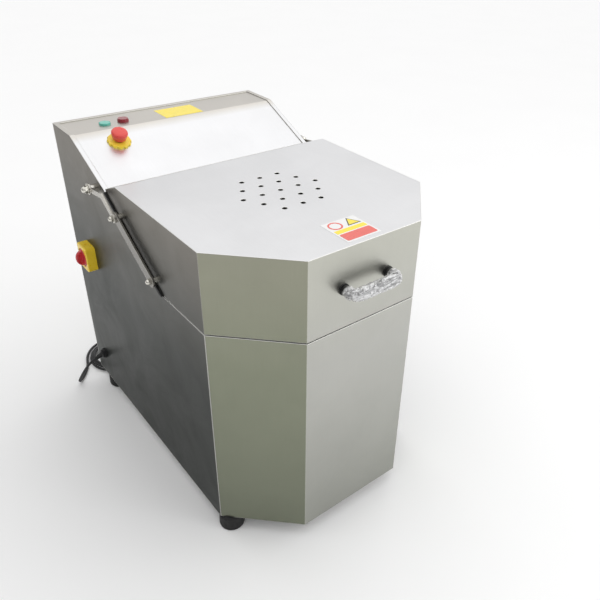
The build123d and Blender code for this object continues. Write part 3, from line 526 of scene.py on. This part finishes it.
def ring_patch(name, center, outer, inner, z, material, body, steps=40):
    """Printed ring."""
    bm = bmesh.new()
    loops = []
    for radius in (outer, inner):
        loops.append([bm.verts.new((center[0] + radius * math.cos(2 * math.pi * k / steps),
                                    center[1] + radius * math.sin(2 * math.pi * k / steps), z))
                      for k in range(steps)])
    faces = [bm.faces.new((loops[0][k], loops[0][(k + 1) % steps],
                           loops[1][(k + 1) % steps], loops[1][k])) for k in range(steps)]
    made = bmesh.ops.extrude_face_region(bm, geom=faces)
    for vert in made["geom"]:
        if isinstance(vert, bmesh.types.BMVert):
            vert.co.z += PRINT
    bmesh.ops.recalc_face_normals(bm, faces=bm.faces)
    obj = mesh_object(name, bm, material, smooth=False)
    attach(obj, body)
    return obj


def triangle(center, size):
    """Outline of an upright equilateral triangle; size is centre to corner."""
    return [(center[0] + size * math.cos(math.radians(a)),
             center[1] + size * math.sin(math.radians(a))) for a in (90, 210, 330)]


label_low, label_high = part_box("lid_label")
LABEL_Z = label_high[2]
label_wide = label_high[0] - label_low[0]
label_deep = label_high[1] - label_low[1]


def on_label(across, up):
    """Place on the lid label, from 0 to 1 each way."""
    return label_low[0] + across * label_wide, label_low[1] + up * label_deep


ring_patch("label_ring", on_label(0.27, 0.78), 0.0165, 0.0125, LABEL_Z, red_print, "lid")
plate("label_sign_border", triangle(on_label(0.74, 0.745), 0.0205), LABEL_Z, black_print,
      "lid")
plate("label_sign", triangle(on_label(0.74, 0.745), 0.0160), LABEL_Z + PRINT, yellow_label,
      "lid")
plate("label_yellow_strip", rounded(*on_label(0.05, 0.42), *on_label(0.95, 0.57), 0.002),
      LABEL_Z, yellow_label, "lid")
plate("label_red_strip", rounded(*on_label(0.05, 0.06), *on_label(0.95, 0.38), 0.004),
      LABEL_Z, red_print, "lid")

# ---------------------------------------------------------------- film on the handle
handle_low, handle_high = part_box("lid_handle")
GRIP_R = 0.011
BEND_R = 0.018
handle_z = (handle_low[2] + handle_high[2]) / 2
reach_y = handle_low[1] + GRIP_R
root_y = handle_high[1] - 0.006
half_spacing = (handle_high[0] - handle_low[0]) / 2 - GRIP_R - 0.002


def bow_point(along):
    """Point and direction on the bow's centre line, along from 0 to 1."""
    leg = (root_y - reach_y) - BEND_R
    bend = BEND_R * math.pi / 2
    span = 2 * (half_spacing - BEND_R)
    run = along * (2 * leg + 2 * bend + span)
    if run < leg:
        return Vector((-half_spacing, root_y - run, 0)), Vector((0, -1, 0))
    run -= leg
    if run < bend:
        a = run / BEND_R
        center = Vector((-half_spacing + BEND_R, reach_y + BEND_R, 0))
        return (center + BEND_R * Vector((-math.cos(a), -math.sin(a), 0)),
                Vector((math.sin(a), -math.cos(a), 0)))
    run -= bend
    if run < span:
        return Vector((-half_spacing + BEND_R + run, reach_y, 0)), Vector((1, 0, 0))
    run -= span
    if run < bend:
        a = run / BEND_R
        center = Vector((half_spacing - BEND_R, reach_y + BEND_R, 0))
        return (center + BEND_R * Vector((math.sin(a), -math.cos(a), 0)),
                Vector((math.cos(a), math.sin(a), 0)))
    run -= bend
    return Vector((half_spacing, reach_y + BEND_R + run, 0)), Vector((0, 1, 0))


FILM_RINGS, FILM_AROUND = 150, 40
FILM_START, FILM_SHARE = 0.04, 0.92     # the part of the bow that the film covers


def packing_film():
    """Crinkled clear film wrapped round the bow, slack in folds along it."""
    rings, around = FILM_RINGS, FILM_AROUND
    bm = bmesh.new()
    grid = []
    for i in range(rings + 1):
        place, ahead = bow_point(FILM_START + FILM_SHARE * i / rings)
        side = Vector((ahead.y, -ahead.x, 0))
        row = []
        for k in range(around):
            a = 2 * math.pi * k / around
            out = side * math.cos(a) + Vector((0, 0, 1)) * math.sin(a)
            spot = Vector((place.x * 60, place.y * 60, 4)) + out * 1.3
            crease = abs(noise.noise(spot * 1.7)) + 0.5 * abs(noise.noise(spot * 4.1))
            end = min(i, rings - i) / 8
            lift = 0.0010 + 0.0052 * max(0.0, 0.75 - 1.5 * crease) * min(1.0, 0.3 + end)
            row.append(bm.verts.new(Vector((place.x, place.y, handle_z))
                                    + out * (GRIP_R + lift)))
        grid.append(row)
    for i in range(rings):
        for k in range(around):
            bm.faces.new((grid[i][k], grid[i][(k + 1) % around],
                          grid[i + 1][(k + 1) % around], grid[i + 1][k]))
    bmesh.ops.recalc_face_normals(bm, faces=bm.faces)
    s = Shader("film_clear", (0.95, 0.95, 0.96), roughness=0.12, Coat_Weight=0.6)
    s.set("IOR", 1.5)
    # Partly the film's own milky folds, partly painted highlight: the film is near-white and more
    # opaque along its wrinkles, standing in for the bright streaks of its sheen.
    wrinkles = s.noise(1.0, 3.0, 0.5, vector=s.stretched((22, 130, 150)), distortion=1.2)
    alpha = s.spread(wrinkles, 0.40, 0.60, 0.30, 0.92)
    s.link(alpha, s.bsdf.inputs["Alpha"])
    s.roughness(s.spread(wrinkles, 0.3, 0.7, 0.06, 0.24))
    s.bump(wrinkles, 0.5, 0.0006)
    return mesh_object("handle_film", bm, s.material)


film = packing_film()
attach(film, "lid")

# ---------------------------------------------------------------- floor and light
bm = bmesh.new()
for x, y in ((-30, -30), (30, -30), (30, 30), (-30, 30)):
    bm.verts.new((x, y, 0))
bm.faces.new(bm.verts)
floor_shader = Shader("floor", (0.97, 0.97, 0.97), roughness=0.9)
floor_shader.color(floor_shader.ramp(floor_shader.noise(2.0, 2.0),
                                     [(0.3, (0.965, 0.965, 0.965)), (0.7, (0.975, 0.975, 0.975))]))
floor = mesh_object("floor", bm, floor_shader.material, smooth=False)

world = bpy.data.worlds.new("studio")
scene.world = world
world.use_nodes = True
sky = world.node_tree
direction = sky.nodes.new("ShaderNodeTexCoord").outputs["Generated"]
toward = sky.nodes.new("ShaderNodeVectorMath")
toward.operation = "DOT_PRODUCT"
toward.inputs[1].default_value = Vector((0.35, 0.05, 0.93)).normalized()
sky.links.new(direction, toward.inputs[0])
shade = sky.nodes.new("ShaderNodeValToRGB")
stops = ((0.0, 0.06), (0.45, 0.18), (0.66, 0.75), (0.82, 1.0), (1.0, 1.25))
while len(shade.color_ramp.elements) < len(stops):
    shade.color_ramp.elements.new(0.5)
for element, (position, value) in zip(shade.color_ramp.elements, stops):
    element.position = position
    element.color = (value, value, value, 1)
half = sky.nodes.new("ShaderNodeMapRange")
half.inputs["From Min"].default_value = -1
sky.links.new(toward.outputs["Value"], half.inputs["Value"])
sky.links.new(half.outputs["Result"], shade.inputs["Fac"])
sky.links.new(shade.outputs["Color"], sky.nodes["Background"].inputs["Color"])
sky.nodes["Background"].inputs["Strength"].default_value = 1.03


def area_light(name, place, target, size, power):
    data = bpy.data.lights.new(name, "AREA")
    data.shape = "RECTANGLE"
    data.size, data.size_y = size
    data.energy = power
    obj = bpy.data.objects.new(name, data)
    scene.collection.objects.link(obj)
    obj.location = place
    obj.rotation_euler = (Vector(target) - Vector(place)).to_track_quat("-Z", "Y").to_euler()


area_light("front_right", (2.0, -2.4, 2.2), (0.3, -0.6, 0.2), (2.2, 2.2), 16)
